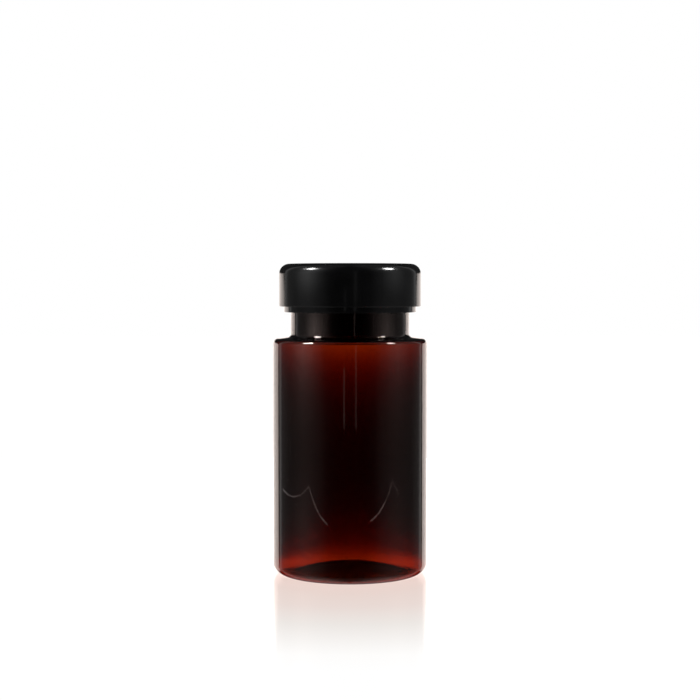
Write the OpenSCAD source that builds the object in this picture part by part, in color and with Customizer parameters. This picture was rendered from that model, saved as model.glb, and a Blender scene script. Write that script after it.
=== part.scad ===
// Amber prescription vial with a push-and-turn closure.
// Origin: centre of the base, on the surface it stands on. +Z is up, sizes are in millimetres.

/* [Vial body] */
// Outer diameter of the body
body_d = 45.6; // [39.2:0.2:60]
// Height of the shoulder above the base
body_h = 70.2; // [48:0.1:110]
// Wall thickness at mid height
wall_mid = 1.2; // [0.7:0.05:1.6]
// Wall thickness next to the heel and next to the shoulder
wall_end = 0.5; // [0.4:0.05:0.7]
// Height in which the wall makes up most of the difference, above the heel
heel_blend = 11.5; // [6:0.5:14]
// Height in which the wall makes up most of the difference, below the shoulder
shoulder_blend = 17; // [8:0.5:20]
// Outer radius of the heel, where the wall meets the base
heel_r = 3; // [2:0.25:4]
// Outer radius of the shoulder's edge
shoulder_r = 1.6; // [0.7:0.1:3]
// Fall of the shoulder from the neck to its edge
shoulder_fall = 0.35; // [0:0.05:1.2]
// Thickness of the shoulder
shoulder_t = 1.1; // [0.8:0.05:1.6]

/* [Base] */
// Width of the flat ring that it stands on
stand_w = 2.8; // [1.5:0.1:6]
// Height of the panel's step above the standing ring
panel_step = 0.3; // [0.2:0.05:1]
// Height of the panel's dome above its step
panel_dome = 3; // [0.3:0.05:3.4]
// Thickness of the base above the panel
base_t = 0.7; // [0.6:0.05:1.8]
// How far the base's thick disc reaches past the panel
disc_over = 0.5; // [0:0.05:0.6]

/* [Neck] */
// Outer diameter of the neck
neck_d = 35.1; // [28:0.1:41.4]
// Thickness of the neck's wall
neck_wall = 1.65; // [1.4:0.05:2.6]
// Height of the neck from the shoulder to the sealing face
neck_h = 16; // [12:0.1:24]
// Radius between the neck and the shoulder
neck_fillet = 1; // [0.5:0.1:1.6]
// Radius of the mouth's two rims
lip_r = 0.35; // [0.15:0.05:0.5]

/* [Thread] */
// Height of the vial's thread above the neck
thread_h = 1.2; // [0.8:0.05:1.4]
// Rise of the thread in one turn
thread_lead = 4.233; // [3.6:0.001:4.8]
// Number of turns of the vial's thread
thread_turns = 1.1; // [0.8:0.05:1.15]
// Width of the vial's thread at its foot
thread_foot = 2.4; // [1.8:0.1:2.5]
// Width of the vial's thread at its crest
thread_crest = 1; // [0.5:0.1:1.1]
// Distance from the sealing face to the top of the thread
thread_start = 1.1; // [0.8:0.05:1.5]
// Width of the closure's thread at its foot
cap_thread_foot = 1.6; // [1.2:0.1:1.7]
// Width of the closure's thread at its crest
cap_thread_crest = 0.7; // [0.4:0.05:0.8]
// Number of turns of the closure's thread
cap_thread_turns = 1.15; // [0.8:0.05:1.2]
// How far the closure's thread starts below the vial's
cap_thread_drop = 0.4; // [0:0.05:0.8]

/* [Liner] */
// Thickness of the board
board_t = 0.9; // [0.6:0.05:1.2]
// Thickness of the foil seal
foil_t = 0.12; // [0.08:0.01:0.2]
// How far the board reaches past the neck's outer face
board_over = 0.05; // [0:0.05:0.1]
// How far the foil stays inside the board
foil_inset = 0.1; // [0.05:0.05:0.5]

/* [Inner cap] */
// Height of the inner cap below its thread
skirt_low = 0.4; // [0.35:0.05:2]
// Thickness of its top
inner_top_t = 1.1; // [0.8:0.05:1.5]
// Thickness of its side
side_t = 0.65; // [0.5:0.05:0.8]
// How far the rim at its top stands out past its side
rim_out = 0.35; // [0.3:0.05:0.5]
// Radius of its top edge
inner_edge_r = 0.5; // [0.2:0.05:0.7]
// Radius of its lower edge
low_edge_r = 0.2; // [0.1:0.05:0.3]

/* [Outer shell] */
// Height of the inner cap that shows below the shell
inner_show = 1.6; // [1:0.05:2.5]
// Thickness of its side
shell_wall = 0.9; // [0.8:0.05:1.5]
// Thickness of its top
shell_top_t = 1.25; // [0.8:0.05:1.6]
// Radius of its top edge
shell_edge_r = 3; // [1:0.1:3.3]
// Radius of its lower rim
shell_rim_r = 0.3; // [0.1:0.05:0.35]
// Radius of the corner inside it
shell_inner_r = 1.6; // [0.4:0.1:1.8]
// Width of the flat land around the sunk panel in its top
top_land = 2; // [1:0.1:6]
// Depth of that panel
top_panel_depth = 0.2; // [0.1:0.05:0.3]
// Diameter of the moulding mark at its centre
gate_d = 2.4; // [1.5:0.1:4]
// Depth of that mark below the panel
gate_depth = 0.2; // [0.1:0.05:0.3]

/* [Push and turn] */
// Travel of the shell when it is pushed down
push_travel = 1.3; // [1:0.05:1.4]
// Height of the driving lugs
lug_h = 0.9; // [0.5:0.05:0.95]
// Number of lugs on each cap
lug_count = 12; // [4:4:12]
// Length of a lug at its foot, around the cap
lug_foot = 3.2; // [2:0.1:3.4]
// Length of a lug at its tip
lug_tip = 2; // [1:0.1:2]
// Radial length of a lug
lug_l = 3.2; // [2:0.1:3.8]
// Distance from the outer end of a lug to the inner cap's top edge
lug_inset = 0.7; // [0.5:0.05:1.5]
// Number of spring fingers
finger_count = 6; // [3:1:6]
// Length of a spring finger
finger_l = 7.4; // [5:0.1:8]
// Width of a spring finger
finger_w = 3; // [2:0.1:3.4]
// Thickness of a spring finger and of its ring
finger_t = 0.45; // [0.3:0.05:0.5]
// Length of the flat at each end of a finger
finger_foot = 1.2; // [0.8:0.1:1.5]
// How far the spring's ring reaches past its fingers on each side
ring_over = 0.5; // [0.2:0.1:1]
// Height of the bead that keeps the shell on the inner cap, above the shell's rim
bead_low = 2.2; // [2:0.1:2.6]
// Height of that bead
bead_h = 0.8; // [0.6:0.05:1]
// How far that bead reaches in past the inner cap's rim
bead_hold = 0.2; // [0.1:0.05:0.25]

/* [Clearances] */
// Radial gap between the crest of the vial's thread and the inner cap
thread_gap = 0.15; // [0.1:0.05:0.3]
// Radial gap between the crest of the closure's thread and the neck
root_gap = 0.35; // [0.1:0.05:0.5]
// Axial gap between the two threads
flank_gap = 0.12; // [0.08:0.02:0.2]
// Radial gap between the inner cap and the shell
shell_gap = 0.2; // [0.15:0.05:0.3]
// Axial gap between the tips of the lugs and the face that they reach when pushed
tip_gap = 0.08; // [0.05:0.01:0.15]
// Radial gap between the lugs and the spring's ring
spring_gap = 3.5; // [0.5:0.1:4]
// Axial gap between the bead and the rim above it
bead_gap = 0.08; // [0.05:0.01:0.15]
// Axial gap that keeps faces apart where one turns on the other
turn_gap = 0.02; // [0.01:0.01:0.05]

/* [Hidden] */
$fn = 96;

arc_steps = 8;      // straight pieces in a quarter of a round edge
wall_steps = 18;    // cones along the body's inner wall
wall_power = 1.45;  // how sharply the wall leaves its end value: 1 is at once, 2 is slowly
dome_steps = 6;     // cones in the base's dome
dome_inset = 0.6;   // width of the slope between the standing ring and the dome
disc_slope = 0.3;   // width of the slope at the edge of the thick disc
fillet_over = 0.3;  // how much larger the fillet inside the neck is than the one outside
turn_steps = 60;    // rings in one turn of a thread
runout = 24;        // angle over which a thread's end fades, degrees
end_share = 0.15;   // share of a thread's height that is left at its very end
embed = 0.3;        // how far a thread's foot is sunk in its wall
chamfer = 0.3;      // height or width of the small slopes at the inner cap's opening, the bead and the mark
lead_in = 0.2;      // width of the slope at the inner cap's opening
panel_slope = 0.4;  // width of the slope around the panel in the shell's top
lug_embed = 0.2;    // how far a lug is sunk in the face that it stands on
past = 1;           // how far a cut runs past the faces that it opens

body_r = body_d / 2;
neck_r = neck_d / 2;
mouth_r = neck_r - neck_wall;
panel_r = body_r - heel_r - stand_w;
disc_r = panel_r + disc_over;
land_z = body_h + neck_h;

// thread, measured to the middle of its width
crest_r = neck_r + thread_h;
thread_low_z = land_z - thread_start - thread_foot / 2 - thread_lead * thread_turns;
inner_r = crest_r + thread_gap;
// the closure's thread lies under the vial's thread, flank to flank
cap_crest_r = neck_r + root_gap;
cap_thread_h = inner_r - cap_crest_r;
flank_slope = (thread_foot - thread_crest) / 2 / thread_h;
cap_slope = (cap_thread_foot - cap_thread_crest) / 2 / cap_thread_h;
half_at_cap_crest = thread_foot / 2 - flank_slope * root_gap + cap_thread_crest / 2;
half_at_crest = thread_crest / 2 + cap_thread_foot / 2 - cap_slope * thread_gap;
thread_below = max(half_at_cap_crest, half_at_crest) + flank_gap;
cap_thread_low_z = thread_low_z - cap_thread_drop;
cap_thread_angle = 360 * (thread_below - cap_thread_drop) / thread_lead;

// heights of the closure
board_r = neck_r + board_over;
board_z = land_z + foil_t;
inner_under_z = board_z + board_t + turn_gap;
inner_top_z = inner_under_z + inner_top_t;
inner_low_z = cap_thread_low_z - cap_thread_foot / 2 - skirt_low;
shell_under_z = inner_top_z + push_travel + lug_h + tip_gap;
shell_top_z = shell_under_z + shell_top_t;
shell_low_z = inner_low_z + inner_show;

// radii of the closure
side_r = inner_r + side_t;
rim_r = side_r + rim_out;
shell_in_r = rim_r + shell_gap;
shell_r = shell_in_r + shell_wall;
bead_r = rim_r - bead_hold;
bead_low_z = shell_low_z + bead_low;
rim_low_z = bead_low_z + bead_h + bead_gap;
top_panel_r = shell_r - shell_edge_r - top_land;
lug_r = rim_r - inner_edge_r - lug_inset - lug_l;
// half of the angle that the meshed lugs leave free, so that both their sides are clear
lug_turn = 180 / lug_count - lug_foot / lug_r * 180 / PI;
ring_w = finger_w + 2 * ring_over;
spring_r = lug_r - spring_gap - ring_w / 2;

// points of a round edge, centred on (x, y), from angle a to angle b
function arc(x, y, r, a, b, steps = arc_steps) =
    [for (i = [0:steps]) let (t = a + (b - a) * i / steps) [x + r * cos(t), y + r * sin(t)]];

// smooth step from 0 to 1
function ease(t) = t * t * (3 - 2 * t);

// share of the end's thickness that is left at a distance from that end
function settle(away, blend) = exp(-pow(away / blend, wall_power));

// thickness of the body's wall at a height: it settles from the end value to the middle one
function wall_at(z, low, high) =
    wall_mid - (wall_mid - wall_end) * (settle(z - low, heel_blend) + settle(high - z, shoulder_blend));

// points along the base's dome, which stands on a circle of radius r at height z
function dome_points(r, z, first, last) =
    [for (i = [first:last > first ? 1 : -1:last]) let (t = i / dome_steps)
        [r * t, z + panel_dome * (1 - t * t)]];

// inner outline of the body's wall from the top down, closer together near its ends
function wall_points(low, high) =
    [for (i = [wall_steps - 1:-1:1]) let (z = low + (high - low) * ease(i / wall_steps))
        [body_r - wall_at(z, low, high), z]];

// half section of the vial, from the middle of the base round the outside to the mouth and back.
// The shoulder's slope is that of the line that touches both its edge and the neck's fillet
function vial_outline() =
    let (
        edge_z = body_h - shoulder_fall - shoulder_r,
        across = body_r - shoulder_r - neck_r - neck_fillet,
        up = body_h + neck_fillet - edge_z,
        slope = acos((shoulder_r + neck_fillet) / norm([across, up])) - atan2(across, up),
        in_neck = neck_fillet + fillet_over,
        under_z = body_h - shoulder_t
    )
    concat(
        dome_points(panel_r - dome_inset, panel_step, 0, dome_steps),
        [[panel_r, 0]],
        arc(body_r - heel_r, heel_r, heel_r, -90, 0),
        arc(body_r - shoulder_r, edge_z, shoulder_r, 0, 90 - slope),
        arc(neck_r + neck_fillet, body_h + neck_fillet, neck_fillet, 270 - slope, 180),
        arc(neck_r - lip_r, land_z - lip_r, lip_r, 0, 90, 4),
        arc(mouth_r + lip_r, land_z - lip_r, lip_r, 90, 180, 4),
        arc(mouth_r + in_neck, under_z + in_neck, in_neck, 180, 270),
        arc(body_r - shoulder_r, edge_z, shoulder_r - wall_end, 90 - slope, 0),
        wall_points(heel_r, edge_z),
        arc(body_r - heel_r, heel_r, heel_r - wall_end, 0, -90),
        [[disc_r + disc_slope, wall_end]],
        dome_points(disc_r, panel_step + base_t, dome_steps, 0)
    );

// one ring of a thread: four corners, with the two inner ones sunk in the wall, and a fade at both
// ends of the thread. side is 1 for a thread that stands outwards and -1 for one that stands inwards
function thread_ring(a, whole, r, h, foot, crest, side, z) =
    let (
        fade = end_share + (1 - end_share) * ease(min(1, min(a, whole - a) / runout)),
        foot_half = foot * (1 + fade) / 4,
        tip_half = crest / 2 * fade,
        tip = r + side * h * fade,
        sunk = r - side * embed,
        sunk_half = foot_half + (foot_half - tip_half) / (h * fade) * embed,
        round = [[sunk, -sunk_half], [tip, -tip_half], [tip, tip_half], [sunk, sunk_half]]
    )
    [for (i = [0:3]) let (p = round[side > 0 ? i : 3 - i])
        [p[0] * cos(a), p[0] * sin(a), z + thread_lead * a / 360 + p[1]]];

module thread(turns, r, h, foot, crest, side, z) {
    whole = 360 * turns;
    rings = ceil(turn_steps * turns);
    points = [for (i = [0:rings]) each thread_ring(whole * i / rings, whole, r, h, foot, crest, side, z)];
    sides = [for (i = [0:rings - 1], j = [0:3])
        let (k = (j + 1) % 4, a = 4 * i, b = a + 4)
        each [[a + k, b + k, a + j], [b + k, b + j, a + j]]];
    polyhedron(points, concat(sides, [[3, 2, 1, 0]], [[for (j = [0:3]) 4 * rings + j]]));
}

module vial_body() {
    color([0.36, 0.10, 0.04, 0.9]) {
        rotate_extrude() polygon(vial_outline());
        thread(thread_turns, neck_r, thread_h, thread_foot, thread_crest, 1, thread_low_z);
    }
}

module liner_board() {
    color([0.86, 0.83, 0.76]) translate([0, 0, board_z]) cylinder(h = board_t, r = board_r);
}

module foil_seal() {
    color([0.78, 0.79, 0.80]) translate([0, 0, land_z]) cylinder(h = foil_t, r = board_r - foil_inset);
}

// a driving lug that stands on z = 0, with its driving face at y = 0 and its ramp behind it
module lug() {
    translate([lug_r, 0, 0]) rotate([90, 0, 90]) linear_extrude(lug_l)
        polygon([[0, -lug_embed], [lug_foot, -lug_embed], [lug_foot, 0], [lug_tip, lug_h], [0, lug_h]]);
}

module inner_cap() {
    outline = concat(
        [[0, inner_under_z], [inner_r, inner_under_z], [inner_r, inner_low_z + chamfer]],
        [[inner_r + lead_in, inner_low_z]],
        arc(side_r - low_edge_r, inner_low_z + low_edge_r, low_edge_r, -90, 0, 3),
        [[side_r, rim_low_z], [rim_r, rim_low_z]],
        arc(rim_r - inner_edge_r, inner_top_z - inner_edge_r, inner_edge_r, 0, 90, 5),
        [[0, inner_top_z]]
    );
    color([0.10, 0.10, 0.11]) {
        rotate_extrude() polygon(outline);
        for (i = [0:lug_count - 1])
            rotate([0, 0, 360 / lug_count * i]) translate([0, 0, inner_top_z]) lug();
        rotate([0, 0, cap_thread_angle])
            thread(cap_thread_turns, inner_r, cap_thread_h, cap_thread_foot, cap_thread_crest, -1,
                cap_thread_low_z);
    }
}

module spring_fingers() {
    low = inner_top_z + turn_gap;
    high = shell_under_z - turn_gap;
    color([0.14, 0.14, 0.15]) {
        translate([0, 0, high - finger_t]) difference() {
            cylinder(h = finger_t, r = spring_r + ring_w / 2);
            translate([0, 0, -past]) cylinder(h = finger_t + 2 * past, r = spring_r - ring_w / 2);
        }
        for (i = [0:finger_count - 1]) rotate([0, 0, 360 / finger_count * i])
            translate([spring_r - finger_w / 2, -finger_l / 2, 0])
                rotate([90, 0, 90]) linear_extrude(finger_w)
                    polygon([[0, high], [0, high - finger_t], [finger_l - finger_foot, low],
                             [finger_l, low], [finger_l, low + finger_t],
                             [finger_l - finger_foot, low + finger_t], [finger_foot, high]]);
    }
}

module outer_shell() {
    outline = concat(
        arc(shell_in_r + shell_rim_r, shell_low_z + shell_rim_r, shell_rim_r, 180, 270, 4),
        arc(shell_r - shell_rim_r, shell_low_z + shell_rim_r, shell_rim_r, -90, 0, 4),
        arc(shell_r - shell_edge_r, shell_top_z - shell_edge_r, shell_edge_r, 0, 90, 10),
        [[top_panel_r, shell_top_z], [top_panel_r - panel_slope, shell_top_z - top_panel_depth]],
        [[gate_d / 2, shell_top_z - top_panel_depth]],
        [[gate_d / 2 - chamfer, shell_top_z - top_panel_depth - gate_depth]],
        [[0, shell_top_z - top_panel_depth - gate_depth], [0, shell_under_z]],
        arc(shell_in_r - shell_inner_r, shell_under_z - shell_inner_r, shell_inner_r, 90, 0, 5),
        [[shell_in_r, bead_low_z + bead_h], [bead_r, bead_low_z + bead_h]],
        [[bead_r, bead_low_z + chamfer], [shell_in_r, bead_low_z]]
    );
    color([0.07, 0.07, 0.08]) {
        rotate_extrude() polygon(outline);
        for (i = [0:lug_count - 1])
            rotate([0, 0, 360 / lug_count * i - lug_turn]) translate([0, 0, shell_under_z])
                rotate([180, 0, 0]) lug();
    }
}

vial_body();
liner_board();
foil_seal();
inner_cap();
spring_fingers();
outer_shell();
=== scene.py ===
import math
import bpy
import numpy as np
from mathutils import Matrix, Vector


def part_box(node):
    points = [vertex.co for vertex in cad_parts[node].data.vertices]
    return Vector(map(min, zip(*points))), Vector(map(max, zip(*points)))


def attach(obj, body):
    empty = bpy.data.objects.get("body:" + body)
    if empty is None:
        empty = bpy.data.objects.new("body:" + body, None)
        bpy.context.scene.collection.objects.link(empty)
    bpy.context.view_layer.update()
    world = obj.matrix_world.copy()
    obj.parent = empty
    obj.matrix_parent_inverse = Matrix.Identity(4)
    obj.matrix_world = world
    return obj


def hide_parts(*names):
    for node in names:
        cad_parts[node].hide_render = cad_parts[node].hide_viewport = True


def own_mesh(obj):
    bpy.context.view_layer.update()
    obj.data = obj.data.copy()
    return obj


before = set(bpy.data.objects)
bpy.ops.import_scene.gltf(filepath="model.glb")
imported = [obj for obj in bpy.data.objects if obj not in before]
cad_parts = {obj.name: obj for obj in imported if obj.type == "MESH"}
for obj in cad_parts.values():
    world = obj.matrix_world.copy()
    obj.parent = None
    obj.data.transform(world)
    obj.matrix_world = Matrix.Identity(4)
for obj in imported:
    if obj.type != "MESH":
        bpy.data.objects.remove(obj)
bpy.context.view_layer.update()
mm = 0.001


def reach(node):
    # outer radius, lowest and highest level of a CAD node, in millimetres
    low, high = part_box(node)
    return high[0] / mm, low[2] / mm, high[2] / mm


def arc(x, z, r, first, last, steps=10):
    # points of a circle round (x, z): x + r cos a and z + r sin a, with a from first to last, in degrees
    a = np.radians(np.linspace(first, last, steps + 1))
    return np.column_stack([x + r * np.cos(a), z + r * np.sin(a)])


def line(start, end, steps=1):
    # points at equal steps on the straight line from start to end
    t = np.linspace(0, 1, steps + 1)[:, None]
    return np.array(start) * (1 - t) + np.array(end) * t


def ease(t):
    # smooth step from 0 to 1: 3 t squared less 2 t cubed
    t = np.clip(t, 0, 1)
    return t * t * (3 - 2 * t)


def outlineOf(*pieces):
    # joins stretches of points into one outline and drops points that repeat
    points = np.concatenate([np.atleast_2d(p) for p in pieces])
    step = np.linalg.norm(np.diff(points, axis=0), axis=1)
    return points[np.concatenate([[True], step > 1e-6])]


def putMesh(name, points, faces, sharp=32):
    # makes one object from points in millimetres, shaded smooth except along edges sharper than that
    mesh = bpy.data.meshes.new(name)
    mesh.from_pydata((points * mm).tolist(), [], [f for part in faces for f in part.tolist()])
    mesh.polygons.foreach_set("use_smooth", np.ones(len(mesh.polygons), dtype=bool))
    mesh.set_sharp_from_angle(angle=math.radians(sharp))
    mesh.update()
    piece = bpy.data.objects.new(name, mesh)
    bpy.context.scene.collection.objects.link(piece)
    return piece


def gridFaces(rows, columns, start=0, closed=True):
    # quads between the rows and the columns of a grid; closed joins the last column to the first
    s, t = np.meshgrid(np.arange(rows - 1), np.arange(columns if closed else columns - 1), indexing="ij")
    here = start + s * columns + t
    beside = start + s * columns + (t + 1) % columns
    return np.stack([here, beside, beside + columns, here + columns], axis=-1).reshape(-1, 4)


def lathe(name, r, z, angles, sharp=32):
    # turned surface: the point of row s and column t is (r cos t, r sin t, z), where r and z may also
    # change along a row. The outline runs with the solid on its left, and its two ends are on the axis
    count = len(angles)
    x, y = r[1:-1] * np.cos(angles), r[1:-1] * np.sin(angles)
    body = np.stack([x, y, z[1:-1]], axis=-1).reshape(-1, 3)
    points = np.concatenate([[[0, 0, z[0, 0]]], body, [[0, 0, z[-1, 0]]]])
    ring = np.arange(count)
    last = 1 + (len(r) - 3) * count
    first = np.stack([np.zeros(count, int), 1 + (ring + 1) % count, 1 + ring], axis=-1)
    end = np.stack([np.full(count, len(points) - 1), last + ring, last + (ring + 1) % count], axis=-1)
    return putMesh(name, points, [first, gridFaces(len(r) - 2, count, 1), end], sharp)


def spread(outline, angles):
    # the outline's radii and levels, repeated for every angle
    ones = np.ones(len(angles))
    return outline[:, :1] * ones, outline[:, 1:] * ones


def threadHeight(z, angles, turns, lead, foot, crest, lowZ, turned=0, runout=24, endShare=0.15):
    # share of a thread's full height at each level and angle. Along the helix the thread's middle is at
    # lowZ + lead * a / 360. The height is 1 on the crest and eases to 0 at the foot, and over the run-out
    # at both ends it fades
    share = np.zeros_like(z)
    for turn in range(int(turns) + 2):
        a = (np.degrees(angles) - turned) % 360 + 360 * turn
        inside = a <= 360 * turns
        fade = ease(np.minimum(a, 360 * turns - a) / runout) * (1 - endShare) + endShare
        away = np.abs(z - (lowZ + lead * a / 360))
        half = foot / 4 * (1 + fade)
        tip = crest / 2 * fade
        share = np.maximum(share, inside * fade * ease((half - away) / (half - tip)))
    return share


def lugShare(angles, count, foot, tip, turned=0, side=1):
    # share of a lug's height round the cap: it rises at once at the driving face, stays full over the
    # tip's angle and falls in a straight ramp to nothing at the foot's angle
    a = (side * (np.degrees(angles) - turned)) % (360 / count)
    return np.clip((foot - a) / (foot - tip), 0, 1)


def lugAngles(count, foot, tip, turned=0, side=1, fill=18):
    # columns round the cap: close together at each lug's driving face, and one at each of its corners
    pitch = 360 / count
    corners = [0, 0.05, tip, foot, pitch - 0.05]
    one = np.unique(np.concatenate([corners, np.linspace(foot, pitch - 0.05, fill)]))
    a = (np.arange(count)[:, None] * pitch + one).ravel() * side + turned
    return np.radians(np.unique(np.round(a % 360, 6)))


class Socket:
    # one output of a node. + - * with a number or another one, on either side, and / by one, each add a
    # Math node
    def __init__(self, tree, output):
        self.tree = tree
        self.output = output

    def math(self, operation, first, second=0.0):
        return self.tree.add("ShaderNodeMath", {"operation": operation}, {0: first, 1: second})

    def __add__(self, other):
        return self.math("ADD", self, other)

    def __radd__(self, other):
        return self.math("ADD", other, self)

    def __sub__(self, other):
        return self.math("SUBTRACT", self, other)

    def __rsub__(self, other):
        return self.math("SUBTRACT", other, self)

    def __mul__(self, other):
        return self.math("MULTIPLY", self, other)

    def __rmul__(self, other):
        return self.math("MULTIPLY", other, self)

    def __truediv__(self, other):
        return self.math("DIVIDE", self, other)


class Tree:
    # the node tree of a material or of the world
    def __init__(self, owner):
        owner.use_nodes = True
        self.nodes = owner.node_tree.nodes
        self.links = owner.node_tree.links
        self.nodes.clear()

    def add(self, kind, settings=None, inputs=None, output=0):
        # any node: its settings come first, then the values or links of its sockets
        node = self.nodes.new(kind)
        for name, value in (settings or {}).items():
            if name != "stops":
                setattr(node, name, value)
                continue
            ramp = node.color_ramp
            while len(ramp.elements) < len(value):
                ramp.elements.new(0.5)
            for element, (place, shade) in zip(ramp.elements, value):
                element.position = place
                element.color = (shade, shade, shade, 1) if isinstance(shade, (int, float)) else shade
        for name, value in (inputs or {}).items():
            if isinstance(value, Socket):
                self.links.new(value.output, node.inputs[name])
            else:
                node.inputs[name].default_value = value
        return Socket(self, node.outputs[output]) if len(node.outputs) else None

    def finish(self, surface, volume=None):
        inputs = {"Surface": surface} if volume is None else {"Surface": surface, "Volume": volume}
        self.add("ShaderNodeOutputMaterial", None, inputs)

    def noise(self, scale, detail=3.0, roughness=0.5, stretch=(1, 1, 1)):
        # value noise on Object coordinates, stretched by axis, with scale in features per metre
        place = self.add("ShaderNodeTexCoord", None, None, "Object")
        place = self.add("ShaderNodeMapping", None, {"Vector": place, "Scale": stretch})
        wants = {"Vector": place, "Scale": scale, "Detail": detail, "Roughness": roughness}
        return self.add("ShaderNodeTexNoise", {"noise_dimensions": "3D"}, wants, "Fac")

    def ramp(self, value, *stops):
        return self.add("ShaderNodeValToRGB", {"stops": stops}, {"Fac": value})

    def bump(self, height, distance, strength=1.0):
        wants = {"Height": height, "Distance": distance, "Strength": strength}
        return self.add("ShaderNodeBump", None, wants)


def newMaterial(name):
    return bpy.data.materials.new(name)


def amberPlastic():
    # clear PET, dyed through: the dye takes light in proportion to the way through the wall, so that the
    # depth of the colour comes from the wall's own thickness
    look = dict(ior=1.575, smooth=0.012, hazy=0.05, rippleEvery=160, rippleHigh=0.000003,
                dye=8600, dyeColor=(0.66, 0.349, 0.0, 1), sheen=(1.0, 0.76, 0.70, 1))
    material = newMaterial("amberPlastic")
    tree = Tree(material)
    haze = tree.noise(900, 4, 0.6)
    ripple = tree.noise(look["rippleEvery"], 2, 0.4, (1, 1, 0.35))
    roughness = look["smooth"] + (look["hazy"] - look["smooth"]) * haze * haze
    surface = tree.add("ShaderNodeBsdfPrincipled", None, {
        "Base Color": (1, 1, 1, 1), "Roughness": roughness, "IOR": look["ior"],
        "Specular Tint": look["sheen"], "Transmission Weight": 1.0,
        "Normal": tree.bump(ripple, look["rippleHigh"])})
    volume = tree.add("ShaderNodeVolumeAbsorption", None, {"Color": look["dyeColor"], "Density": look["dye"]})
    tree.finish(surface, volume)
    return material


def blackPlastic(name, dark, light, smooth, rough, grainEvery, grainHigh, waveHigh):
    # moulded black polypropylene: the colour and the gloss vary a little, a fine grain lies on a long
    # shallow waviness from the mould
    material = newMaterial(name)
    tree = Tree(material)
    cloud = tree.noise(120, 3, 0.55)
    grain = tree.noise(grainEvery, 2, 0.5)
    wave = tree.noise(70, 1, 0.4)
    color = tree.ramp(cloud, (0.3, (dark, dark, dark * 1.08, 1)), (0.75, (light, light, light * 1.1, 1)))
    roughness = smooth + (rough - smooth) * cloud
    normal = tree.bump(grain * grainHigh + wave * waveHigh, 1.0)
    tree.finish(tree.add("ShaderNodeBsdfPrincipled", None, {
        "Base Color": color, "Roughness": roughness, "IOR": 1.49, "Normal": normal}))
    return material


def pulpBoard():
    # pale pulp board: long fibres lie over a cloudy ground
    material = newMaterial("pulpBoard")
    tree = Tree(material)
    cloud = tree.noise(260, 4, 0.6)
    fibre = tree.noise(2200, 3, 0.6, (1, 0.25, 1))
    mixed = cloud * 0.6 + fibre * 0.4
    color = tree.ramp(mixed, (0.32, (0.52, 0.47, 0.38, 1)), (0.5, (0.66, 0.62, 0.53, 1)),
                      (0.68, (0.76, 0.73, 0.66, 1)))
    normal = tree.bump(mixed, 0.00008)
    tree.finish(tree.add("ShaderNodeBsdfPrincipled", None, {
        "Base Color": color, "Roughness": 0.78 + cloud * 0.15, "Normal": normal}))
    return material


def rolledFoil():
    # bright aluminium foil: fine rolling lines along one direction, and shallow creases from the press
    material = newMaterial("rolledFoil")
    tree = Tree(material)
    lines = tree.noise(1500, 3, 0.6, (1, 0.03, 1))
    crease = tree.noise(330, 3, 0.5)
    color = tree.ramp(lines, (0.3, (0.72, 0.73, 0.75, 1)), (0.7, (0.84, 0.85, 0.86, 1)))
    normal = tree.bump(lines * 0.000004 + crease * 0.00003, 1.0)
    tree.finish(tree.add("ShaderNodeBsdfPrincipled", None, {
        "Base Color": color, "Metallic": 1.0, "Roughness": 0.2 + lines * 0.2, "Normal": normal}))
    return material


vialBody = dict(
    neckH=16, neckR=17.55, neckWall=1.65, neckFillet=1.0, lipR=0.35, filletOver=0.3,
    shoulderR=1.6, shoulderFall=0.35, shoulderT=1.1, heelR=3, standW=2.8,
    panelStep=0.3, panelDome=3, domeInset=0.6, baseT=0.7, discOver=0.5, discSlope=0.3,
    wallMid=1.2, wallEnd=0.5, heelBlend=11.5, shoulderBlend=17, wallPower=1.45, wallUneven=0.012,
    threadH=1.2, lead=4.233, turns=1.1, foot=2.3, crest=0.9, threadStart=1.1, threadFoot=2.4, columns=288)


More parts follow.
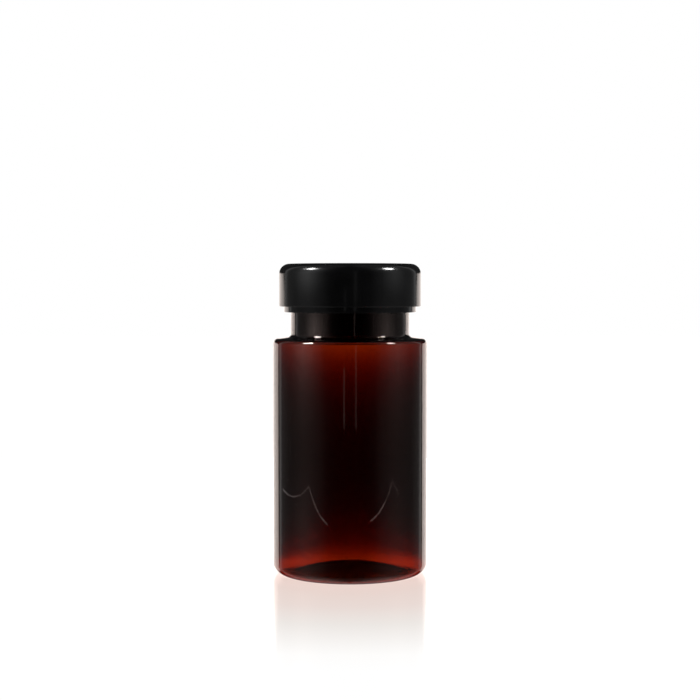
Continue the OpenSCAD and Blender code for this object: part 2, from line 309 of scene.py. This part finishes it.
def makeVial(v):
    bodyR, baseZ, landZ = reach("vial_body")
    bodyH = landZ - v["neckH"]
    edgeZ = bodyH - v["shoulderFall"] - v["shoulderR"]
    neckR, mouthR = v["neckR"], v["neckR"] - v["neckWall"]
    panelR = bodyR - v["heelR"] - v["standW"]
    discR = panelR + v["discOver"]
    across = bodyR - v["shoulderR"] - neckR - v["neckFillet"]
    up = bodyH + v["neckFillet"] - edgeZ
    # the shoulder's slope is that of the line that touches both its edge and the neck's fillet
    slope = math.degrees(math.acos((v["shoulderR"] + v["neckFillet"]) / math.hypot(across, up))
                         - math.atan2(across, up))
    inNeck = v["neckFillet"] + v["filletOver"]
    underZ = bodyH - v["shoulderT"]

    def dome(r, z, steps=28):
        # the base's dome: level z + panelDome (1 - t squared) at radius r t
        t = np.linspace(0, 1, steps + 1)
        return np.column_stack([r * t, z + v["panelDome"] * (1 - t * t)])

    def wallAt(z):
        # wall thickness: the end value's share is e to the minus (distance from that end / blend) to the
        # wall's power, and the rest is the middle value
        low, high = (z - v["heelR"]) / v["heelBlend"], (edgeZ - z) / v["shoulderBlend"]
        settle = np.exp(-low ** v["wallPower"]) + np.exp(-high ** v["wallPower"])
        return v["wallMid"] - (v["wallMid"] - v["wallEnd"]) * settle

    step = ease(np.linspace(0, 1, 8))
    panelEdge = np.column_stack([panelR - v["domeInset"] * (1 - np.linspace(0, 1, 8)),
                                 v["panelStep"] * (1 - step)])
    wallZ = edgeZ + (v["heelR"] - edgeZ) * ease(np.linspace(0, 1, 61))[1:-1]
    threadLow = landZ - v["threadStart"] - v["threadFoot"] / 2 - v["lead"] * v["turns"]
    outline = outlineOf(
        dome(panelR - v["domeInset"], v["panelStep"]),
        panelEdge,
        arc(bodyR - v["heelR"], v["heelR"], v["heelR"], -90, 0, 24),
        arc(bodyR - v["shoulderR"], edgeZ, v["shoulderR"], 0, 90 - slope, 16),
        arc(neckR + v["neckFillet"], bodyH + v["neckFillet"], v["neckFillet"], 270 - slope, 180, 14),
        line((neckR, threadLow - 1.6), (neckR, landZ - v["lipR"]), 86),
        arc(neckR - v["lipR"], landZ - v["lipR"], v["lipR"], 0, 90, 6),
        arc(mouthR + v["lipR"], landZ - v["lipR"], v["lipR"], 90, 180, 6),
        arc(mouthR + inNeck, underZ + inNeck, inNeck, 180, 270, 12),
        arc(bodyR - v["shoulderR"], edgeZ, v["shoulderR"] - v["wallEnd"], 90 - slope, 0, 12),
        np.column_stack([bodyR - wallAt(wallZ), wallZ]),
        arc(bodyR - v["heelR"], v["heelR"], v["heelR"] - v["wallEnd"], 0, -90, 20),
        [[discR + v["discSlope"], v["wallEnd"]]],
        dome(discR, v["panelStep"] + v["baseT"])[::-1])
    outline[:, 1] += baseZ
    angles = np.linspace(0, 2 * math.pi, v["columns"], endpoint=False)
    r, z = spread(outline, angles)
    onNeck = (np.abs(outline[:, :1] - neckR) < 1e-6) & (outline[:, 1:] > threadLow - 1.7)
    r += onNeck * v["threadH"] * threadHeight(z, angles, v["turns"], v["lead"], v["foot"], v["crest"],
                                              threadLow)
    # blowing leaves the inner face a little uneven: a slow wave round the wall that drifts as it rises,
    # and that dies out at the wall's two ends
    inside = (outline[:, :1] < bodyR - v["wallEnd"] + 1e-6) & (outline[:, :1] > mouthR + inNeck)
    middle = inside * np.sin(np.pi * np.clip((outline[:, 1:] - 6) / (edgeZ - 12), 0, 1))
    r += middle * v["wallUneven"] * (np.sin(3 * angles + z / 14) + 0.6 * np.sin(7 * angles - z / 9))
    piece = lathe("amberVial", r, z, angles)
    piece.data.materials.append(amberPlastic())
    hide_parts("vial_body")
    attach(piece, "vial")


liner = dict(edgeR=0.12, foilEdgeR=0.03, columns=192)


def disc(name, node, edge, columns):
    # a flat disc with rounded edges, between the CAD node's two faces
    r, low, high = reach(node)
    outline = outlineOf([[0, low], [r * 0.5, low]], arc(r - edge, low + edge, edge, -90, 0, 5),
                        arc(r - edge, high - edge, edge, 0, 90, 5), [[r * 0.5, high], [0, high]])
    angles = np.linspace(0, 2 * math.pi, columns, endpoint=False)
    return lathe(name, *spread(outline, angles), angles)


def makeLiner(v):
    for name, node, edge, material, slot in (
            ("linerBoard", "liner_board", v["edgeR"], pulpBoard(), "liner_board"),
            ("foilSeal", "foil_seal", v["foilEdgeR"], rolledFoil(), "foil")):
        piece = disc(name, node, edge, v["columns"])
        piece.data.materials.append(material)
        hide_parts(node)
        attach(piece, "liner")


lugs = dict(count=12, foot=3.15, tip=1.95, long=3.2, high=0.9, inset=0.7, step=0.02, room=3.2)

innerCap = dict(
    topT=1.1, innerR=18.9, sideR=19.55, edgeR=0.5, lowEdgeR=0.2, chamfer=0.3, leadIn=0.2, beadGap=0.08,
    threadH=1.0, lead=4.233, turns=1.15, foot=1.5, crest=0.6, threadFoot=1.6, skirt=0.4,
    threadBelow=1.466, threadDrop=0.4, cornerR=0.25, wallBelow=0.3)


def lugRows(lugR, z, outwards=True):
    # level rows across the lugs' ring, with the rows at its two edges so close that the ends stand upright
    a, b, s = lugR, lugR + lugs["long"], lugs["step"]
    radii = np.array([a - s, a, b, b + s])
    points = np.column_stack([radii, np.full(4, z)])
    return points if outwards else points[::-1]


def lugRing(rimR):
    # inner and outer radius of the lugs' ring, and the angles of a lug's foot and tip, in degrees
    inner = rimR - innerCap["edgeR"] - lugs["inset"] - lugs["long"]
    outer = inner + lugs["long"]
    return inner, outer, math.degrees(lugs["foot"] / outer), math.degrees(lugs["tip"] / outer)


def onLugs(outline, faceZ, inner, outer):
    # which points of the outline are on the face that the lugs stand on, within their ring
    level = np.abs(outline[:, 1:] - faceZ) < 1e-6
    return level & (outline[:, :1] > inner - 1e-6) & (outline[:, :1] < outer + 1e-6)


def makeInnerCap(v):
    rimR, lowZ, tipZ = reach("inner_cap")
    topZ = tipZ - lugs["high"]
    underZ = topZ - v["topT"]
    rimLow = reach("outer_shell")[1] + outerShell["beadLow"] + outerShell["beadH"] + v["beadGap"]
    lugR, outer, foot, tip = lugRing(rimR)
    threadLow = lowZ + v["skirt"] + v["threadFoot"] / 2
    # the two threads lie flank on flank when this one is turned on by that much
    threadTurned = 360 * (v["threadBelow"] - v["threadDrop"]) / v["lead"]
    outline = outlineOf(
        [[0, underZ], [v["innerR"] * 0.5, underZ]],
        arc(v["innerR"] - v["cornerR"], underZ - v["cornerR"], v["cornerR"], 90, 0, 4),
        line((v["innerR"], underZ - v["wallBelow"]), (v["innerR"], lowZ + v["chamfer"]), 96),
        [[v["innerR"] + v["leadIn"], lowZ]],
        arc(v["sideR"] - v["lowEdgeR"], lowZ + v["lowEdgeR"], v["lowEdgeR"], -90, 0, 6),
        [[v["sideR"], rimLow], [rimR - 0.05, rimLow], [rimR, rimLow + 0.05]],
        arc(rimR - v["edgeR"], topZ - v["edgeR"], v["edgeR"], 0, 90, 8),
        lugRows(lugR, topZ, False),
        [[lugR * 0.5, topZ], [0, topZ]])
    angles = lugAngles(lugs["count"], foot, tip)
    r, z = spread(outline, angles)
    onWall = np.abs(outline[:, :1] - v["innerR"]) < 1e-6
    r -= onWall * v["threadH"] * threadHeight(z, angles, v["turns"], v["lead"], v["foot"], v["crest"],
                                              threadLow, threadTurned)
    z += onLugs(outline, topZ, lugR, outer) * lugs["high"] * lugShare(angles, lugs["count"], foot, tip)
    piece = lathe("innerCap", r, z, angles)
    piece.data.materials.append(blackPlastic(
        "innerCapBlack", 0.0012, 0.0025, 0.06, 0.12, 2600, 0.0000006, 0.000004))
    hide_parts("inner_cap")
    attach(piece, "inner_cap")


outerShell = dict(
    wall=0.9, topT=1.25, edgeR=3, rimR=0.3, innerR=1.6, topLand=2, panelSlope=0.4, panelDepth=0.2,
    gateR=1.2, gateDepth=0.2, gateSlope=0.3, beadLow=2.2, beadH=0.8, beadIn=0.4, beadSlope=0.3)


def makeOuterShell(v):
    shellR, lowZ, topZ = reach("outer_shell")
    inR = shellR - v["wall"]
    underZ = topZ - v["topT"]
    beadZ = lowZ + v["beadLow"]
    beadR = inR - v["beadIn"]
    lugR, outer, foot, tip = lugRing(reach("inner_cap")[0])
    turned = math.degrees(lugs["room"] / lugR) - 180 / lugs["count"]
    panelR = shellR - v["edgeR"] - v["topLand"]
    panelZ = topZ - v["panelDepth"]
    outline = outlineOf(
        [[0, underZ], [lugR * 0.5, underZ]],
        lugRows(lugR, underZ),
        arc(inR - v["innerR"], underZ - v["innerR"], v["innerR"], 90, 0, 8),
        [[inR, beadZ + v["beadH"]]],
        arc(beadR + 0.1, beadZ + v["beadH"] - 0.1, 0.1, 90, 180, 3),
        arc(beadR + 0.15, beadZ + v["beadSlope"] + 0.15, 0.15, 180, 240, 3),
        [[inR, beadZ]],
        arc(inR + v["rimR"], lowZ + v["rimR"], v["rimR"], 180, 270, 6),
        arc(shellR - v["rimR"], lowZ + v["rimR"], v["rimR"], -90, 0, 6),
        arc(shellR - v["edgeR"], topZ - v["edgeR"], v["edgeR"], 0, 90, 30),
        [[panelR + 0.05, topZ], [panelR - 0.05, topZ - 0.02]],
        [[panelR - v["panelSlope"] + 0.05, panelZ + 0.02], [panelR - v["panelSlope"] - 0.05, panelZ]],
        [[panelR * 0.5, panelZ], [v["gateR"], panelZ]],
        [[v["gateR"] - v["gateSlope"], panelZ - v["gateDepth"]], [0, panelZ - v["gateDepth"]]])
    angles = lugAngles(lugs["count"], foot, tip, turned, -1)
    r, z = spread(outline, angles)
    onLug = onLugs(outline, underZ, lugR, outer)
    z -= onLug * lugs["high"] * lugShare(angles, lugs["count"], foot, tip, turned, -1)
    piece = lathe("outerShell", r, z, angles)
    piece.data.materials.append(blackPlastic(
        "shellBlack", 0.0010, 0.0022, 0.12, 0.19, 2100, 0.000001, 0.000004))
    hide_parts("outer_shell")
    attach(piece, "outer_shell")


spring = dict(fingers=6, long=7.4, wide=3, thick=0.45, foot=1.2, ringR=10, ringW=4, rows=25, keep=0.42,
              cornerR=0.1, columns=120)


def makeSpring(v):
    lowZ, highZ = reach("spring_fingers")[1:]
    half, thick = v["ringW"] / 2, v["thick"]
    # the ring: a rectangle with small round corners, carried round the axis
    e = v["cornerR"]
    loop = outlineOf(arc(v["ringR"] + half - e, highZ - thick + e, e, -90, 0, 4),
                     arc(v["ringR"] + half - e, highZ - e, e, 0, 90, 4),
                     arc(v["ringR"] - half + e, highZ - e, e, 90, 180, 4),
                     arc(v["ringR"] - half + e, highZ - thick + e, e, 180, 270, 4))
    angles = np.linspace(0, 2 * math.pi, v["columns"], endpoint=False)
    x, y = loop[:, :1] * np.cos(angles), loop[:, :1] * np.sin(angles)
    z = loop[:, 1:] * np.ones(v["columns"])
    points = [np.stack([x, y, z], axis=-1).reshape(-1, 3)]
    # the row after the last one is the first one again
    faces = [gridFaces(len(loop) + 1, v["columns"]) % (len(loop) * v["columns"])]
    # a finger: its middle line eases from the ring down to the foot, and a flat section rides along it
    t = np.linspace(0, 1, v["rows"])
    along = (t - 0.5) * v["long"]
    fall = ease((t * v["long"] - v["foot"] / 2) / (v["long"] - 1.5 * v["foot"]))
    middle = highZ - thick / 2 - (highZ - lowZ - thick) * fall
    corners = outlineOf(*[arc(sx * (v["wide"] / 2 - e), sz * (thick / 2 - e), e, a, a + 90, 3)
                          for sx, sz, a in ((1, -1, -90), (1, 1, 0), (-1, 1, 90), (-1, -1, 180))])
    count = len(corners)
    for turn in np.arange(v["fingers"]) * 2 * math.pi / v["fingers"]:
        u = v["ringR"] + corners[:, 0] * np.ones((v["rows"], 1))
        w = along[:, None] * np.ones(count)
        h = middle[:, None] + corners[:, 1]
        finger = np.stack([u * math.cos(turn) - w * math.sin(turn),
                           u * math.sin(turn) + w * math.cos(turn), h], axis=-1).reshape(-1, 3)
        start = sum(len(p) for p in points)
        faces.append(gridFaces(v["rows"], count, start)[:, ::-1])
        ends = [finger[:count].mean(axis=0), finger[-count:].mean(axis=0)]
        points.append(np.concatenate([finger, ends]))
        at = start + np.arange(count)
        nextTo = start + (np.arange(count) + 1) % count
        foot = np.full(count, start + len(finger))
        last = (v["rows"] - 1) * count
        faces.append(np.stack([foot, at, nextTo], axis=-1))
        faces.append(np.stack([foot + 1, nextTo + last, at + last], axis=-1))
    piece = putMesh("springFingers", np.concatenate(points), faces)
    piece.data.materials.append(blackPlastic(
        "springBlack", 0.005, 0.009, 0.25, 0.35, 2100, 0.000002, 0.000004))
    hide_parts("spring_fingers")
    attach(piece, "spring")
    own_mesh(piece)


studio = dict(
    # painted light: seen through the amber, the sheet is brighter near the vial and beside it
    white=2.9, nearPaintedLight=1.8, besidePaintedLight=1.2, backWhite=1.5, fill=0.9,
    lampAzimuth=80, lampHeight=43, lampAway=0.7, lampSize=0.17, lampPower=3.8, lampAim=0.08,
    warm=(1.0, 0.90, 0.845, 1), leftSide=1.35, rightSide=0.66, rightBack=2.5,
    floorSize=4.0, floorDrop=0.05, floorGloss=0.4, floorRough=0.1, floorReach=200,
    # painted reflection: the sheet's colour round the vial, pinkish close to it and white away from it
    paintedFloorReflection=((24, (0.80, 0.65, 0.60, 1)), (50, (0.81, 0.70, 0.66, 1)), (72, (0.84, 0.80, 0.77, 1)),
                (104, (0.99, 0.98, 0.97, 1)), (120, (1, 1, 1, 1))),
    # painted shadow: seen through the amber, the sheet is dark under the vial
    shadeR=19.5, shadeSoft=1.5, halfWhiteR=40, endWhiteR=75, besideX=(4, 18), closeR=(35, 80),
    paper=dict(left=-300, right=275, back=300, high=104, soft=10),
    edgeWide=3, edgeHigh=0.1, edgeShine=1.2, edges=dict(
        left=((-188, 90), (-188, -56), (-198, -113)), frontLeft=((-198, -113), (-120, -109), (-60, -106)),
        frontRight=((60, -116), (140, -115), (219, -113)), right=((219, -113), (194, -54))),
    slitAway=600, slitWide=30, slits=((8.5, 0, 400, 0.17), (-8.5, 0, 52, 0.2)),
    world=dict(
        room=((0, 0.0), (20, 0.002), (33, 0.02), (44, 0.08), (60, 0.11), (100, 0.09), (108, 0.115),
              (116, 0.135), (121, 0.16), (125, 0.26), (127, 0.5), (131, 0.42), (133, 0.03), (180, 0.02)),
        boxAngles=((40, 0.0), (52, 0.15), (63, 0.42), (74, 0.6), (86, 0.34), (97, 0.1), (112, 0.0)),
        boxLevels=((-9, 0.16), (-6.5, 0.07), (-4.9, 0.09), (-3.6, 0.16), (-2.8, 0.2), (-2.2, 0.3),
                   (-1.4, 0.42), (0.2, 1.0), (30, 1.0), (50, 0.0)),
        belowAngles=((0, 0.2), (40, 0.5), (75, 1.0), (180, 1.0)),
        belowLevels=((-60, 0.6), (-42, 0.3), (-28, 0.0)),
        backAngles=((134.5, 0.0), (136.5, 1.0)), backLevels=((-24, 0.0), (-18, 1.0), (-1, 1.0), (0, 0.0)),
        throughLevels=((3, 1.0), (6, 0.03))))


def makeWorld(v):
    # seen directly and through the amber, the room is even white. Mirrored, it is what stands round the
    # table, by the angle from the front: dark in front, a soft box on each side that stands a little
    # above the table, and a white sheet behind. A lower sheet of paper close behind is a card of its own
    world = bpy.data.worlds.new("studio")
    bpy.context.scene.world = world
    tree = Tree(world)
    camera, glossy, clear = (tree.add("ShaderNodeLightPath", None, None, "Is " + name + " Ray")
                             for name in ("Camera", "Glossy", "Transmission"))
    place = tree.add("ShaderNodeTexCoord", None, None, "Generated")
    x, y, z = (tree.add("ShaderNodeSeparateXYZ", None, {"Vector": place}, axis) for axis in "XYZ")
    around = x.math("ARCTAN2", x, -1.0 * y) / math.pi
    level = z.math("ARCTAN2", z, z.math("SQRT", x * x + y * y)) / math.pi + 0.5
    right = 0.5 + 0.5 * x.math("SIGN", around)
    side = x.math("ABSOLUTE", around) - right * (v["rightBack"] / 180)

    def byAngle(*stops):
        return tree.ramp(side, *[(a / 180, shade) for a, shade in stops])

    def byLevel(*stops):
        return tree.ramp(level, *[((e + 90) / 180, shade) for e, shade in stops])

    w = v["world"]
    room = byAngle(*w["room"])
    box = byAngle(*w["boxAngles"]) * byLevel(*w["boxLevels"])
    below = byLevel(*w["belowLevels"]) * byAngle(*w["belowAngles"])
    back = byAngle(*w["backAngles"]) * byLevel(*w["backLevels"])
    leaning = v["leftSide"] + (v["rightSide"] - v["leftSide"]) * right
    # a ray that goes through slightly rough plastic counts as glossy too
    mirror = glossy * (1 - clear)
    mirrored = room + box * leaning + below
    other = (1 - glossy) * (1 - clear) * (1 - camera)
    through = byLevel(*w["throughLevels"]) * v["white"]
    plain = mirror * mirrored + clear * through + other * v["fill"] + camera
    shine = tree.add("ShaderNodeBackground", None, {"Color": (1, 1, 1, 1), "Strength": plain})
    sheet = tree.add("ShaderNodeBackground", None, {
        "Color": v["warm"], "Strength": mirror * back * v["backWhite"]})
    tree.add("ShaderNodeOutputWorld", None, {
        "Surface": tree.add("ShaderNodeAddShader", None, {0: shine, 1: sheet})})


def stagePiece(name, points, surface, seenBy):
    # a flat piece of the set, in millimetres, that only the named kinds of ray see
    mesh = bpy.data.meshes.new(name)
    mesh.from_pydata([(x * mm, y * mm, z * mm) for x, y, z in points], [], [tuple(range(len(points)))])
    piece = bpy.data.objects.new(name, mesh)
    bpy.context.scene.collection.objects.link(piece)
    material = newMaterial(name)
    tree = Tree(material)
    tree.finish(surface(tree))
    mesh.materials.append(material)
    for kind in ("camera", "diffuse", "glossy", "transmission", "volume_scatter", "shadow"):
        setattr(piece, "visible_" + kind, kind in seenBy)


def fromAxis(tree):
    # distance from the vial's axis, in millimetres
    place = tree.add("ShaderNodeTexCoord", None, None, "Object")
    x, y = (tree.add("ShaderNodeSeparateXYZ", None, {"Vector": place}, axis) for axis in "XY")
    return x.math("SQRT", x * x + y * y) / mm


def makeFloor(v):
    # white gloss sheet: bright by itself, with a blurred mirror image of what stands on it. Its own colour
    # carries a painted reflection of the vial, pinkish close to it and white away from it.
    # Through the amber, the sheet has a painted shadow, dark where the vial stands on it, and painted light
    # round it
    half, drop, reached = v["floorSize"] / 2 / mm, -v["floorDrop"], v["floorReach"]
    square = [(-half, -half, drop), (half, -half, drop), (half, half, drop), (-half, half, drop)]

    def byReach(tree, value, stops):
        # ramp over a length in millimetres
        return tree.ramp(value / reached, *[(length / reached, shade) for length, shade in stops])

    def gloss(tree):
        # painted reflection: the sheet's own colour is pinkish close to the vial and white away from it
        color = byReach(tree, fromAxis(tree), v["paintedFloorReflection"])
        shine = tree.add("ShaderNodeEmission", None, {"Color": color, "Strength": 1.0})
        mirror = tree.add("ShaderNodeBsdfGlossy", None, {
            "Color": (v["floorGloss"],) * 3 + (1,), "Roughness": v["floorRough"]})
        return tree.add("ShaderNodeAddShader", None, {0: shine, 1: mirror})

    def paintedShadeAndLight(tree):
        near = v["nearPaintedLight"]
        # painted shadow: dark under the vial, then painted light that is brightest close by and eases to
        # plain white further out
        light = byReach(tree, fromAxis(tree), (
            (v["shadeR"] - v["shadeSoft"], 0.0), (v["shadeR"] + v["shadeSoft"], 1.0),
            (v["halfWhiteR"], 0.5 + 0.5 / near), (v["endWhiteR"], 1 / near)))
        # painted light: close by, the sheet is brighter beside the vial than behind it
        place = tree.add("ShaderNodeTexCoord", None, None, "Object")
        x = tree.add("ShaderNodeSeparateXYZ", None, {"Vector": place}, "X")
        beside = byReach(tree, x.math("ABSOLUTE", x) / mm, zip(v["besideX"], (0.0, 1.0)))
        close = byReach(tree, fromAxis(tree), zip(v["closeR"], (1.0, 0.0)))
        light = light * (1 + v["besidePaintedLight"] * beside * close)
        wants = {"Color": (1, 1, 1, 1), "Strength": light * (v["white"] * near)}
        return tree.add("ShaderNodeEmission", None, wants)

    stagePiece("floor", square, gloss, ("camera",))
    stagePiece("floorThroughAmber", square, paintedShadeAndLight, ("transmission",))


def makeCards(v):
    # thin bright lines that only mirrors show: the edge of the square sheet on the table, left out in
    # front of the vial, and the two gaps in the screen that stands before it
    def shining(strength):
        wants = {"Color": (1, 1, 1, 1), "Strength": strength}
        return lambda tree: tree.add("ShaderNodeEmission", None, wants)

    for name, points in v["edges"].items():
        for number, (start, end) in enumerate(zip(points, points[1:])):
            start, end = np.array(start), np.array(end)
            along = (end - start) / np.linalg.norm(end - start)
            aside = np.array([-along[1], along[0]]) * v["edgeWide"] / 2
            corners = [start - aside, end - aside, end + aside, start + aside]
            stagePiece("edge_%s%d" % (name, number), [(x, y, v["edgeHigh"]) for x, y in corners],
                       shining(v["edgeShine"]), ("glossy",))
    for number, (azimuth, low, high, shine) in enumerate(v["slits"]):
        a = math.radians(azimuth)
        x, y = v["slitAway"] * math.sin(a), -v["slitAway"] * math.cos(a)
        dx, dy = v["slitWide"] / 2 * math.cos(a), v["slitWide"] / 2 * math.sin(a)
        corners = [(x - dx, y - dy, low), (x + dx, y + dy, low),
                   (x + dx, y + dy, high), (x - dx, y - dy, high)]
        stagePiece("slit%d" % number, corners, shining(shine), ("glossy",))


def makePaper(v):
    # the upright white paper behind the table, as mirrors show it, with a soft top edge
    p = v["paper"]

    def surface(tree):
        place = tree.add("ShaderNodeTexCoord", None, None, "Object")
        z = tree.add("ShaderNodeSeparateXYZ", None, {"Vector": place}, "Z")
        top = tree.ramp(z / (p["high"] * mm), (1 - p["soft"] / p["high"], 1.0), (1.0, 0.0))
        shine = tree.add("ShaderNodeEmission", None, {"Color": v["warm"], "Strength": top * v["backWhite"]})
        return tree.add("ShaderNodeMixShader", None, {
            0: tree.add("ShaderNodeLightPath", None, None, "Is Transmission Ray"), 1: shine,
            2: tree.add("ShaderNodeBsdfTransparent")})

    corners = [(p["left"], p["back"], 0), (p["right"], p["back"], 0), (p["right"], p["back"], p["high"]),
               (p["left"], p["back"], p["high"])]
    stagePiece("paper", corners, surface, ("glossy",))


def makeLamps(v):
    # two small soft lamps, high on both sides, for the bright spots on the round edges
    for side in (-1, 1):
        lamp = bpy.data.lights.new("lamp", "AREA")
        lamp.shape = "DISK"
        lamp.size = v["lampSize"]
        lamp.energy = v["lampPower"]
        holder = bpy.data.objects.new("lamp", lamp)
        bpy.context.scene.collection.objects.link(holder)
        a, e = math.radians(v["lampAzimuth"]), math.radians(v["lampHeight"])
        place = Vector((side * math.sin(a) * math.cos(e), -math.cos(a) * math.cos(e), math.sin(e)))
        holder.location = place * v["lampAway"] + Vector((0, 0, v["lampAim"]))
        holder.rotation_euler = place.to_track_quat("Z", "Y").to_euler()


view = dict(place=(0, -0.460, 0.0864), aim=(0, 0, 0.0663), lens=79.7)


def makeCamera(v):
    camera = bpy.data.cameras.new("camera")
    camera.lens = v["lens"]
    camera.sensor_width = 36
    camera.clip_start = 0.01
    holder = bpy.data.objects.new("camera", camera)
    bpy.context.scene.collection.objects.link(holder)
    holder.location = v["place"]
    holder.rotation_euler = (Vector(v["aim"]) - Vector(v["place"])).to_track_quat("-Z", "Y").to_euler()
    bpy.context.scene.camera = holder


bpy.context.scene.view_settings.view_transform = "Standard"
makeCamera(view)
makeWorld(studio)
makeFloor(studio)
makeLamps(studio)
makeCards(studio)
makePaper(studio)
print("studio is set")
makeVial(vialBody)
print("vial is made")
makeLiner(liner)
print("liner is made")
makeInnerCap(innerCap)
makeOuterShell(outerShell)
makeSpring(spring)
print("closure is made")
